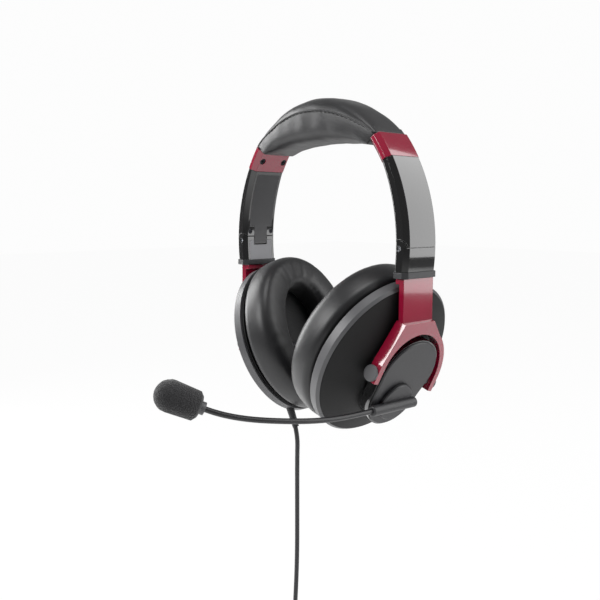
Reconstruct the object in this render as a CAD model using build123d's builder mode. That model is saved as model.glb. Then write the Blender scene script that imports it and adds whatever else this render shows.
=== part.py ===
"""Gaming headset: head pad, two sliding arms with fold hinges, two swivelling yokes with tilting
ear cups, a boom microphone on the left cup and a cable with a coil and a 3.5 mm plug on the right.

Millimetres. The origin is the head rest: the middle of the pad's underside. +Z is up, the
headset faces -Y, and +X is the wearer's left.
"""

import os
from math import cos, radians, sin, sqrt, tan

from build123d import *

os.makedirs("parts", exist_ok=True)

SIDES = {"left": 1, "right": -1}

# Heights are counted from the fold hinge's line, which lies this far below the head rest.
HINGE_Z = -60.0

# Arms and collars follow one arc on each side. Its centre lies across the middle.
ARC_X = 24.4
OUTER_R = 100.0
INNER_FACE_R = 105.6
INNER_FACE_X = 39.7
ARM_WIDTH = 27.0
ARM_BEVEL = 2.6
ARM_END = 29.73
COLLAR_START = 29.9
COLLAR_END = 39.0
COLLAR_INNER_R = 92.2
COLLAR_OUTER_R = 99.8
COLLAR_WIDTH = 28.2

# Straight steel strip that slides through collar, core and pad. It lies along the arc's tangent at
# the collar's middle. Its reach is counted from there, up into the pad and down into the arm.
STRIP_R = 94.2
STRIP_THICKNESS = 1.0
STRIP_WIDTH = 12.0
STRIP_UP = 23.0
STRIP_DOWN = 24.0
SLOT_GAP = 0.3
SLOT_END_GAP = 0.6

# Crown: pad, core and spring share one arc centre above the hinge line.
CROWN_Z = 19.76
PAD_OUTER_R = 67.9
PAD_END_ANGLE = 39.05
PAD_END_INNER_R = 92.4
PAD_END_OUTER_R = 99.3
PAD_DEPTH_MIDDLE = 35.0
PAD_DEPTH_END = 27.2
PAD_REACH = 57.0
PAD_EDGE_ROUND = 2.5
CORE_INNER_R = 58.6
CORE_OUTER_R = 63.6
CORE_WIDTH = 18.0
CORE_ANGLE = 49.0
SOCKET_INNER_R = 93.5
SOCKET_OUTER_R = 98.6
SOCKET_WIDTH = 23.6
SOCKET_START = 30.3
SOCKET_END = 42.0
SPRING_INNER_R = 60.6
SPRING_THICKNESS = 0.8
SPRING_WIDTH = 12.0
SPRING_ANGLE = 47.0

# Fold hinge.
PIN_X = 69.9
PIN_R = 1.5
PIN_LENGTH = 25.6
KNUCKLE_R = 4.6
KNUCKLE_CUT_R = 5.0
TONGUE_WIDTH = 10.8
NOTCH_WIDTH = 11.2
RUNNING_GAP = 0.05
BLOCK_TOP = 0.05
ARM_BOTTOM = 0.35
BLOCK_BOTTOM = -13.1
PLATE_THICKNESS = 1.6
PLATE_WIDTH = 19.2
PLATE_TOP = 44.0
PLATE_SHOULDER = 9.6

# Swivel of the yoke under the block.
SWIVEL_X = 70.6
RING_BOTTOM = -16.4
RING_WIDTH = 28.4
RING_THICKNESS = 10.6
RING_MIDDLE_X = 70.2
POST_R = 1.8
POST_TOP = -7.5
STEM_TOP = -16.7
STEM_WIDTH = 24.7
STEM_INNER = -0.6
STEM_OUTER = 2.7
STEM_BOTTOM = -46.0
ROOT_INNER = -3.1
ROOT_BOTTOM = -19.5

# Yoke arch: leans inward as it goes down, and is turned back in its own plane.
YOKE_LEAN = 17.5
YOKE_TURN = 15.0
PIVOT_N = -10.46
PIVOT_Y = 2.39
PIVOT_Z = -74.8
ARCH_R = 28.0
ARCH_OPENING_R = 24.75
ARCH_RISE = 4.25
ARCH_BELOW = -2.5
ARCH_ABOVE = 4.5
LEG_END = -4.6
PIVOT_PIN_R = 2.0
BUTTON_R = 4.7
BUTTON_HEIGHT = 1.2
BUTTON_BEVEL = 0.3
LEG_FACE = 0.4
PIN_BITE = 6.0
PIN_BORE_END = 18.3

# Rest pose of each side: swivel of the yoke, then tilt of the cup on its pivots.
REST_SWIVEL = {"left": -0.6, "right": -13.1}
REST_TILT = {"left": 7.3, "right": 3.9}

# Ear cup. Heights n are counted along the cup's outward normal.
PIVOT_HEIGHT = 7.5
PIVOT_IN_CUP_Y = 2.4
PIVOT_IN_CUP_Z = -2.6
CUP_LEAN = 3.5
RIM_HALF_TALL = 50.4
RIM_HALF_WIDE = 48.4
RIM_LOW = -12.5
RIM_HIGH = -5.9
RIM_WALL = 2.5
BACK_TOP_R = 22.0
BACK_TOP = 2.0
BACK_WALL = 2.2
HOUSING_TOP_R = 22.0
HOUSING_HUB_R = 19.5
HOUSING_HUB_Z = -11.8
HOUSING_BASE = 3.0
HOUSING_TOP = 9.8
SIDE_PLATE_TOP = 11.0
BAFFLE_LOW = -12.5
BAFFLE_HIGH = -10.5
CLIP_LOW = -14.0
CUSHION_LOW = -36.0
CUSHION_HALF_TALL = 51.8
CUSHION_HALF_WIDE = 49.5
EAR_HALF_TALL = 31.0
EAR_HALF_WIDE = 24.5
DRIVER_R = 25.0
DRIVER_BASKET_HEIGHT = 4.0
MAGNET_R = 13.0
MAGNET_HEIGHT = 4.5
CUSHION_FACE_ROUND = 7.0
CUSHION_RIM_ROUND = 3.0

# Boom microphone, in the left cup's own directions.
HUB_Y = -0.9
HUB_Z = -16.0
HUB_R = 12.0
HUB_LOW = 11.3
HUB_HIGH = 13.4
HUB_BEVEL = 0.6
HOLDER_R = 3.1
HOLDER_N = 14.2
HOLDER_FRONT = -20.6
HOLDER_BACK = 14.6
HOLDER_DROP = -1.2
BOOM_R = 1.5
WINDSCREEN_R = 8.2
WINDSCREEN_LENGTH = 24.0
WINDSCREEN_START = 2.0
WINDSCREEN_BACK_ROUND = 4.0
CAPSULE_R = 3.3
CAPSULE_LENGTH = 13.0

# Cable.
CABLE_R = 1.5
COIL_R = 16.5
COIL_SECTION_R = 6.1
RELIEF_N = -9.2
RELIEF_Y = -18.5
RELIEF_TOP = -44.0
RELIEF_BOTTOM = -59.0
RELIEF_TOP_R = 2.6
RELIEF_END_R = 2.1
CABLE_IN_RELIEF = 6.0


def save(piece, name):
    """Name a finished piece and write it."""
    piece.part.label = name
    export_step(piece.part, f"parts/{name}.step")


# ---------------------------------------------------------------- planes of the two sides


def side_view():
    """Upright plane through the middle, seen from the front, with heights from the hinge line."""
    return Plane(origin=(0, 0, HINGE_Z), x_dir=(1, 0, 0), z_dir=(0, -1, 0))


def arc_plane(s, angle):
    """Plane across one side's arm arc: local x runs out from the arc's centre, local y back."""
    a = radians(angle)
    return Plane(
        origin=(-s * ARC_X, 0, HINGE_Z), x_dir=(s * cos(a), 0, sin(a)), z_dir=(-sin(a), 0, s * cos(a))
    )


def arc_axis(s):
    """Axis of one side's arm arc, about which arm, collar and socket are turned."""
    return Axis((-s * ARC_X, 0, HINGE_Z), (0, -s, 0))


def inner_face_radius(angle):
    """Distance of the arm's inner face from the arm arc's centre."""
    a = radians(angle)
    shift = INNER_FACE_X - ARC_X
    return -shift * cos(a) + sqrt(INNER_FACE_R**2 - (shift * sin(a)) ** 2)


def arm_point(s, angle, radius):
    """Point of the side view at an angle and a radius on one side's arm arc."""
    a = radians(angle)
    return (s * (radius * cos(a) - ARC_X), radius * sin(a))


def turned(plane, direction, angle):
    """Plane turned by an angle about a direction. Its origin stays."""
    about = Axis((0, 0, 0), direction)
    return Plane(
        origin=plane.origin,
        x_dir=plane.x_dir.rotate(about, angle),
        z_dir=plane.z_dir.rotate(about, angle),
    )


def fork_plane(side):
    """Upright plane of a yoke through its swivel axis, turned to its rest swivel."""
    s = SIDES[side]
    toe = radians(REST_SWIVEL[side])
    outward = Vector(s * cos(toe), sin(toe), 0)
    return Plane(origin=(s * SWIVEL_X, 0, HINGE_Z), x_dir=Vector(0, 0, 1).cross(outward), z_dir=outward)


def arch_plane(side):
    """Middle plane of the yoke's arch: local x along the tilt axis, local y up the arch."""
    s = SIDES[side]
    fork = fork_plane(side)
    middle = fork.from_local_coords((s * PIVOT_Y, PIVOT_Z, PIVOT_N))
    leaned = turned(Plane(origin=middle, x_dir=fork.x_dir, z_dir=fork.z_dir), fork.x_dir, YOKE_LEAN)
    return turned(leaned, leaned.z_dir, -s * YOKE_TURN)


def housing_plane(side, n=0.0):
    """Plane at height n in the cup, with the directions of the pivot housing."""
    arch = arch_plane(side)
    return turned(arch, arch.x_dir, REST_TILT[side]).offset(n - PIVOT_HEIGHT)


def cup_plane(side, n=0.0):
    """Plane at height n in the cup: local x back (times the side's sign), local y up the cup."""
    s = SIDES[side]
    level = housing_plane(side, n)
    level = turned(level, level.z_dir, s * YOKE_TURN)
    middle = level.from_local_coords((-s * PIVOT_IN_CUP_Y, -PIVOT_IN_CUP_Z, 0))
    return Plane(origin=middle, x_dir=level.x_dir, z_dir=level.z_dir)


def cup_ellipse(side, half_tall, half_wide):
    """Outline of the ear cup, its long axis leaning back at the top."""
    return Ellipse(half_wide, half_tall, rotation=-SIDES[side] * CUP_LEAN)


def housing_outline(grow=0.0):
    """Outline of the pivot housing: a large round top and a smaller round hub below."""
    with Locations((0, ARCH_RISE)):
        Circle(HOUSING_TOP_R + grow)
    with Locations((0, HOUSING_HUB_Z)):
        Circle(HOUSING_HUB_R + grow)
    make_hull()


# ---------------------------------------------------------------- shared forms


def bevelled_bar(s, low, high):
    """The arm's bar between two angles of its arc, with its four long edges bevelled."""
    middle = (low + high) / 2
    outer = [arm_point(s, a, OUTER_R) for a in (low, middle, high)]
    inner = [arm_point(s, a, inner_face_radius(a)) for a in (high, middle, low)]
    with BuildPart() as bar:
        with BuildSketch(side_view()):
            with BuildLine():
                ThreePointArc(*outer)
                Line(outer[-1], inner[0])
                ThreePointArc(*inner)
                Line(inner[-1], outer[0])
            make_face()
        extrude(amount=ARM_WIDTH / 2, both=True)
        chamfer(bar.edges().filter_by(GeomType.CIRCLE), ARM_BEVEL)
    return bar.part


def arc_block(s, inner_r, outer_r, width, low, high, bevel=0.0):
    """Block of constant section that follows one side's arm arc."""
    with BuildPart() as block:
        with BuildSketch(arc_plane(s, low)) as section:
            with Locations(((inner_r + outer_r) / 2, 0)):
                Rectangle(outer_r - inner_r, width)
            if bevel:
                chamfer(section.vertices(), bevel)
        revolve(axis=arc_axis(s), revolution_arc=high - low)
    return block.part


def crown_arc(inner_r, outer_r, width, half_angle):
    """Arc over the head about the crown's centre."""
    with BuildPart() as arc:
        start = radians(half_angle)
        low_point = (inner_r * sin(start), CROWN_Z + inner_r * cos(start))
        high_point = (outer_r * sin(start), CROWN_Z + outer_r * cos(start))
        with BuildSketch(side_view()):
            with BuildLine():
                ThreePointArc(low_point, (0, CROWN_Z + inner_r), (-low_point[0], low_point[1]))
                Line((-low_point[0], low_point[1]), (-high_point[0], high_point[1]))
                ThreePointArc((-high_point[0], high_point[1]), (0, CROWN_Z + outer_r), high_point)
                Line(high_point, low_point)
            make_face()
        extrude(amount=width / 2, both=True)
    return arc.part


def screws(face, places, head_r, head_height, shank_r, length):
    """Flat-headed screws with a cross recess. The face looks out of the part."""
    with BuildPart() as group:
        with BuildSketch(face):
            with Locations(*places):
                Circle(head_r)
        extrude(amount=-head_height)
        with BuildSketch(face.offset(-head_height)):
            with Locations(*places):
                Circle(shank_r)
        extrude(amount=-(length - head_height))
        with BuildSketch(face):
            with Locations(*places):
                Rectangle(head_r * 1.1, head_r * 0.25)
                Rectangle(head_r * 0.25, head_r * 1.1)
        extrude(amount=-head_height * 0.5, mode=Mode.SUBTRACT)
    return group.part


def screw_holes(face, places, head_r, head_height, shank_r, length):
    """The room that such screws take, with a shallow recess over each head."""
    with BuildPart() as holes:
        with BuildSketch(face.offset(2)):
            with Locations(*places):
                Circle(head_r)
        extrude(amount=-(head_height + 2))
        with BuildSketch(face):
            with Locations(*places):
                Circle(shank_r)
        extrude(amount=-length)
    return holes.part


# ---------------------------------------------------------------- headband

COLLAR_MIDDLE = (COLLAR_START + COLLAR_END) / 2


def slide_bar(s, up, down, thickness, width):
    """Straight bar along one side's slide, from its reach up to its reach down."""
    middle = arc_plane(s, COLLAR_MIDDLE).from_local_coords((STRIP_R, 0, 0))
    rising = arc_plane(s, COLLAR_MIDDLE).z_dir * s
    with BuildPart() as bar:
        with BuildSketch(Plane(origin=middle - rising * down, x_dir=(0, 1, 0), z_dir=rising)):
            Rectangle(width, thickness)
        extrude(amount=up + down)
    return bar.part


core_sockets = {}
slots = {}
strips = {}
for side, s in SIDES.items():
    core_sockets[side] = arc_block(
        s, SOCKET_INNER_R, SOCKET_OUTER_R, SOCKET_WIDTH, SOCKET_START, SOCKET_END
    )
    strips[side] = slide_bar(s, STRIP_UP, STRIP_DOWN, STRIP_THICKNESS, STRIP_WIDTH)
    slots[side] = slide_bar(
        s,
        STRIP_UP + SLOT_END_GAP,
        STRIP_DOWN,
        STRIP_THICKNESS + 2 * SLOT_GAP,
        STRIP_WIDTH + 2 * SLOT_GAP,
    )

# Two screws clamp each collar on its socket. Their heads sit in the collar's inner face.
COLLAR_SCREW = dict(head_r=2.2, head_height=1.2, shank_r=1.1, length=4.4)
SCREW_DEPTH = 0.4
collar_screw_faces = {}
collar_screw_places = [(0, 8.8), (0, -8.8)]
for side, s in SIDES.items():
    across = arc_plane(s, COLLAR_MIDDLE)
    head_face = across.from_local_coords((COLLAR_INNER_R + SCREW_DEPTH, 0, 0))
    collar_screw_faces[side] = Plane(origin=head_face, x_dir=across.z_dir, z_dir=-across.x_dir)

with BuildPart() as collar_screws:
    for side in SIDES:
        add(screws(collar_screw_faces[side], collar_screw_places, **COLLAR_SCREW))
save(collar_screws, "collar_screws")

spring_band = crown_arc(SPRING_INNER_R, SPRING_INNER_R + SPRING_THICKNESS, SPRING_WIDTH, SPRING_ANGLE)
with BuildPart() as headband_spring:
    add(spring_band)
save(headband_spring, "headband_spring")

with BuildPart() as core_shape:
    add(crown_arc(CORE_INNER_R, CORE_OUTER_R, CORE_WIDTH, CORE_ANGLE))
    for side in SIDES:
        add(core_sockets[side])

with BuildPart() as headband_core:
    add(core_shape.part)
    add(spring_band, mode=Mode.SUBTRACT)
    for side in SIDES:
        add(slots[side], mode=Mode.SUBTRACT)
        add(screws(collar_screw_faces[side], collar_screw_places, **COLLAR_SCREW), mode=Mode.SUBTRACT)
save(headband_core, "headband_core")

# The pad is a crescent: round on top, nearly flat where it rests on the head, deepest at the crown.
pad_edge = {s: arm_point(s, PAD_END_ANGLE, PAD_END_INNER_R) for s in SIDES.values()}
pad_top = {s: arm_point(s, PAD_END_ANGLE, PAD_END_OUTER_R) for s in SIDES.values()}

with BuildPart() as headband_pad:
    with BuildSketch(side_view()):
        with BuildLine():
            ThreePointArc(pad_top[1], (0, CROWN_Z + PAD_OUTER_R), pad_top[-1])
            Line(pad_top[-1], pad_edge[-1])
            ThreePointArc(pad_edge[-1], (0, -HINGE_Z), pad_edge[1])
            Line(pad_edge[1], pad_top[1])
        make_face()
    extrude(amount=PAD_DEPTH_MIDDLE, both=True)
    with BuildSketch(Plane.XY.offset(HINGE_Z + 50)):
        half_middle = PAD_DEPTH_MIDDLE / 2
        half_end = PAD_DEPTH_END / 2
        with BuildLine():
            ThreePointArc((PAD_REACH, half_end), (0, half_middle), (-PAD_REACH, half_end))
            Line((-PAD_REACH, half_end), (-PAD_REACH, -half_end))
            ThreePointArc((-PAD_REACH, -half_end), (0, -half_middle), (PAD_REACH, -half_end))
            Line((PAD_REACH, -half_end), (PAD_REACH, half_end))
        make_face()
    extrude(amount=60, mode=Mode.INTERSECT)
    long_edges = [e for e in headband_pad.edges() if e.length > 60]
    fillet(long_edges, PAD_EDGE_ROUND)
    add(core_shape.part, mode=Mode.SUBTRACT)
    for side in SIDES:
        add(slots[side], mode=Mode.SUBTRACT)
save(headband_pad, "headband_pad")

for side, s in SIDES.items():
    with BuildPart() as collar:
        add(arc_block(s, COLLAR_INNER_R, COLLAR_OUTER_R, COLLAR_WIDTH, COLLAR_START, COLLAR_END, ARM_BEVEL))
        add(core_sockets[side], mode=Mode.SUBTRACT)
        add(
            arc_block(
                s, SOCKET_INNER_R, SOCKET_OUTER_R, SOCKET_WIDTH, SOCKET_START - 0.1, SOCKET_START
            ),
            mode=Mode.SUBTRACT,
        )
        add(slots[side], mode=Mode.SUBTRACT)
        add(
            screw_holes(collar_screw_faces[side], collar_screw_places, **COLLAR_SCREW),
            mode=Mode.SUBTRACT,
        )
    save(collar, f"headband_collar_{side}")


# ---------------------------------------------------------------- arms

ARM_SCREW = dict(head_r=1.6, head_height=1.0, shank_r=0.8, length=4.0)
ARM_SCREW_ANGLE = 3.9
ARM_SCREW_Y = 9.0

for side, s in SIDES.items():
    hinge_line = Plane(origin=(s * PIN_X, 0, HINGE_Z), x_dir=(1, 0, 0), z_dir=(0, -1, 0))
    across = arc_plane(s, ARM_SCREW_ANGLE)
    screw_face = Plane(
        origin=across.from_local_coords((inner_face_radius(ARM_SCREW_ANGLE) + 0.3, 0, 0)),
        x_dir=across.z_dir,
        z_dir=-across.x_dir,
    )
    screw_places = [(0, ARM_SCREW_Y), (0, -ARM_SCREW_Y)]

    with BuildPart() as slider_strip:
        add(strips[side])
    save(slider_strip, f"slider_strip_{side}")

    # Inner plate: a layer of the arm's inner face, with a narrow tongue over the knuckle.
    with BuildPart() as arm_inner_plate:
        with BuildSketch(side_view()):
            with Locations((-s * INNER_FACE_X, 0)):
                Circle(INNER_FACE_R + PLATE_THICKNESS)
                Circle(INNER_FACE_R, mode=Mode.SUBTRACT)
            with Locations((s * PIN_X, PLATE_TOP / 2)):
                Rectangle(60, PLATE_TOP, mode=Mode.INTERSECT)
        extrude(amount=PLATE_WIDTH / 2, both=True)
        with BuildSketch(hinge_line):
            with Locations((0, PLATE_SHOULDER / 2)):
                Rectangle(60, PLATE_SHOULDER)
        extrude(amount=PLATE_WIDTH, both=True, mode=Mode.SUBTRACT)
        with BuildSketch(hinge_line):
            with Locations((-s * (PIN_X + INNER_FACE_X), 0)):
                Circle(INNER_FACE_R + PLATE_THICKNESS)
                Circle(INNER_FACE_R, mode=Mode.SUBTRACT)
            with Locations((0, PLATE_SHOULDER / 2 - 1)):
                Rectangle(20, PLATE_SHOULDER + 2, mode=Mode.INTERSECT)
        extrude(amount=TONGUE_WIDTH / 2, both=True)
    save(arm_inner_plate, f"arm_inner_plate_{side}")

    with BuildPart() as arm_shell:
        add(bevelled_bar(s, -4, ARM_END))
        for front in (1, -1):
            with BuildSketch(hinge_line.offset(front * TONGUE_WIDTH / 2)):
                with Locations((0, ARM_BOTTOM - 20)):
                    Rectangle(60, 40)
                Circle(KNUCKLE_CUT_R)
            extrude(amount=front * ARM_WIDTH, mode=Mode.SUBTRACT)
        with BuildSketch(hinge_line):
            with Locations((0, ARM_BOTTOM - 20)):
                Rectangle(60, 40)
            Circle(KNUCKLE_R, mode=Mode.SUBTRACT)
        extrude(amount=TONGUE_WIDTH / 2, both=True, mode=Mode.SUBTRACT)
        with BuildSketch(hinge_line):
            Circle(PIN_R + RUNNING_GAP)
        extrude(amount=ARM_WIDTH, both=True, mode=Mode.SUBTRACT)
        add(arm_inner_plate.part, mode=Mode.SUBTRACT)
        add(strips[side], mode=Mode.SUBTRACT)
        add(screw_holes(screw_face, screw_places, **ARM_SCREW), mode=Mode.SUBTRACT)
    save(arm_shell, f"arm_shell_{side}")

    with BuildPart() as arm_screws:
        add(screws(screw_face, screw_places, **ARM_SCREW))
    save(arm_screws, f"arm_screws_{side}")

    with BuildPart() as fold_pin:
        with BuildSketch(hinge_line):
            Circle(PIN_R)
        extrude(amount=PIN_LENGTH / 2, both=True)
    save(fold_pin, f"fold_pin_{side}")

    # Light plate on the block's inner face, up to the tops of the two cheeks.
    with BuildPart() as hinge_block_plate:
        with BuildSketch(hinge_line):
            with Locations((-s * (PIN_X + INNER_FACE_X), 0)):
                Circle(INNER_FACE_R + PLATE_THICKNESS)
                Circle(INNER_FACE_R, mode=Mode.SUBTRACT)
            with Locations((0, (BLOCK_BOTTOM + 0.05) / 2)):
                Rectangle(20, 0.05 - BLOCK_BOTTOM, mode=Mode.INTERSECT)
        extrude(amount=PLATE_WIDTH / 2, both=True)
        with BuildSketch(hinge_line):
            Circle(KNUCKLE_CUT_R)
        extrude(amount=NOTCH_WIDTH / 2, both=True, mode=Mode.SUBTRACT)
    save(hinge_block_plate, f"hinge_block_plate_{side}")

    with BuildPart() as swivel_bore:
        with BuildSketch(Plane(origin=(s * SWIVEL_X, 0, HINGE_Z + POST_TOP + 0.5), z_dir=(0, 0, 1))):
            Circle(POST_R + RUNNING_GAP)
        extrude(amount=-12)

    with BuildPart() as hinge_block:
        add(bevelled_bar(s, -12, 4))
        with BuildSketch(hinge_line):
            with Locations((0, (BLOCK_BOTTOM + BLOCK_TOP) / 2)):
                Rectangle(60, BLOCK_TOP - BLOCK_BOTTOM)
            Circle(KNUCKLE_R)
        extrude(amount=ARM_WIDTH, both=True, mode=Mode.INTERSECT)
        with BuildSketch(hinge_line):
            Circle(KNUCKLE_CUT_R)
        extrude(amount=NOTCH_WIDTH / 2, both=True, mode=Mode.SUBTRACT)
        with BuildSketch(hinge_line):
            Circle(PIN_R)
        extrude(amount=ARM_WIDTH, both=True, mode=Mode.SUBTRACT)
        add(hinge_block_plate.part, mode=Mode.SUBTRACT)
        add(swivel_bore.part, mode=Mode.SUBTRACT)
    save(hinge_block, f"hinge_block_{side}")

    # Flat dark ring that the yoke's stem turns against.
    with BuildPart() as swivel_ring:
        with BuildSketch(Plane.XY.offset(HINGE_Z + RING_BOTTOM)) as ring_section:
            with Locations((s * RING_MIDDLE_X, 0)):
                Rectangle(RING_THICKNESS, RING_WIDTH)
            chamfer(ring_section.vertices(), ARM_BEVEL)
        extrude(amount=BLOCK_BOTTOM - RING_BOTTOM)
        with BuildSketch(Plane.XY.offset(HINGE_Z + RING_BOTTOM)):
            with Locations((s * SWIVEL_X, 0)):
                Circle(POST_R + RUNNING_GAP)
        extrude(amount=BLOCK_BOTTOM - RING_BOTTOM, mode=Mode.SUBTRACT)
    save(swivel_ring, f"swivel_ring_{side}")


# ---------------------------------------------------------------- yokes

for side, s in SIDES.items():
    fork = fork_plane(side)
    arch = arch_plane(side)

    with BuildPart() as swivel_post:
        with BuildSketch(Plane(origin=(s * SWIVEL_X, 0, HINGE_Z + POST_TOP), z_dir=(0, 0, 1))):
            Circle(POST_R)
        extrude(amount=ROOT_BOTTOM + 0.8 - POST_TOP)
    save(swivel_post, f"swivel_post_{side}")

    # The two pins run from the housing through the legs and end in flat buttons.
    with BuildPart() as pivot_pins:
        for front in (-1, 1):
            outward = arch.x_dir * front
            start = arch.origin + outward * (ARCH_OPENING_R - PIN_BITE)
            with BuildSketch(Plane(origin=start, z_dir=outward)):
                Circle(PIVOT_PIN_R)
            extrude(amount=ARCH_R - ARCH_OPENING_R + PIN_BITE + LEG_FACE)
            seat = arch.origin + outward * (ARCH_R + LEG_FACE)
            with BuildSketch(Plane(origin=seat, z_dir=outward)):
                Circle(BUTTON_R)
            extrude(amount=BUTTON_HEIGHT)
        chamfer(pivot_pins.edges().filter_by(GeomType.CIRCLE).group_by(SortBy.RADIUS)[-1], BUTTON_BEVEL)
    save(pivot_pins, f"pivot_pins_{side}")

    # Stem, flared neck and arch in one piece. The legs' outer faces are flat where the buttons sit.
    with BuildPart() as yoke:
        with BuildSketch(arch.offset(ARCH_BELOW)):
            neck_front = (-s * 23.7, 31.4)
            neck_back = (s * 0.2, 37.8)
            with Locations((0, ARCH_RISE)):
                Circle(ARCH_R + LEG_FACE)
            with BuildLine():
                Polyline(
                    (-s * 28.0, ARCH_RISE + 4),
                    neck_front,
                    neck_back,
                    (s * 18.0, ARCH_RISE + 21.6),
                    (0, ARCH_RISE),
                    close=True,
                )
            make_face()
            with Locations((0, (ARCH_RISE + LEG_END) / 2)):
                Rectangle(2 * (ARCH_R + LEG_FACE), ARCH_RISE - LEG_END)
        extrude(amount=ARCH_ABOVE - ARCH_BELOW)
        with BuildSketch(arch.offset(-20)):
            with Locations((0, LEG_END - 30)):
                Rectangle(80, 60)
        extrude(amount=40, mode=Mode.SUBTRACT)
        with BuildSketch(fork.offset(STEM_INNER)):
            with Locations((0, (STEM_TOP + STEM_BOTTOM) / 2)):
                Rectangle(STEM_WIDTH, STEM_TOP - STEM_BOTTOM)
        extrude(amount=STEM_OUTER - STEM_INNER)
        with BuildSketch(fork.offset(ROOT_INNER)):
            with Locations((0, (STEM_TOP + ROOT_BOTTOM) / 2)):
                Rectangle(STEM_WIDTH, STEM_TOP - ROOT_BOTTOM)
        extrude(amount=STEM_OUTER - ROOT_INNER)
        with BuildSketch(arch.offset(-20)):
            with Locations((0, ARCH_RISE)):
                Circle(ARCH_OPENING_R)
            with Locations((0, ARCH_RISE - 20)):
                Rectangle(2 * ARCH_OPENING_R, 40)
        extrude(amount=40, mode=Mode.SUBTRACT)
        add(pivot_pins.part, mode=Mode.SUBTRACT)
        add(swivel_post.part, mode=Mode.SUBTRACT)
    save(yoke, f"yoke_{side}")


# ---------------------------------------------------------------- ear cups


def cup_disc(side, low, high, half_tall, half_wide):
    """Elliptical disc between two heights of a cup."""
    with BuildPart() as disc:
        with BuildSketch(cup_plane(side, low)):
            cup_ellipse(side, half_tall, half_wide)
        extrude(amount=high - low)
    return disc.part


def cup_cone(side, shrink, low, high):
    """Shallow cone of the cup's back, from the rim's outline to the round top."""
    with BuildPart() as cone:
        with BuildSketch(cup_plane(side, low)):
            cup_ellipse(side, RIM_HALF_TALL - 1.6 - shrink, RIM_HALF_WIDE - 1.6 - shrink)
        with BuildSketch(cup_plane(side, high)):
            Circle(BACK_TOP_R - shrink)
        loft()
    return cone.part


BAFFLE_SCREW = dict(head_r=1.8, head_height=1.0, shank_r=0.9, length=1.9)

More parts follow.
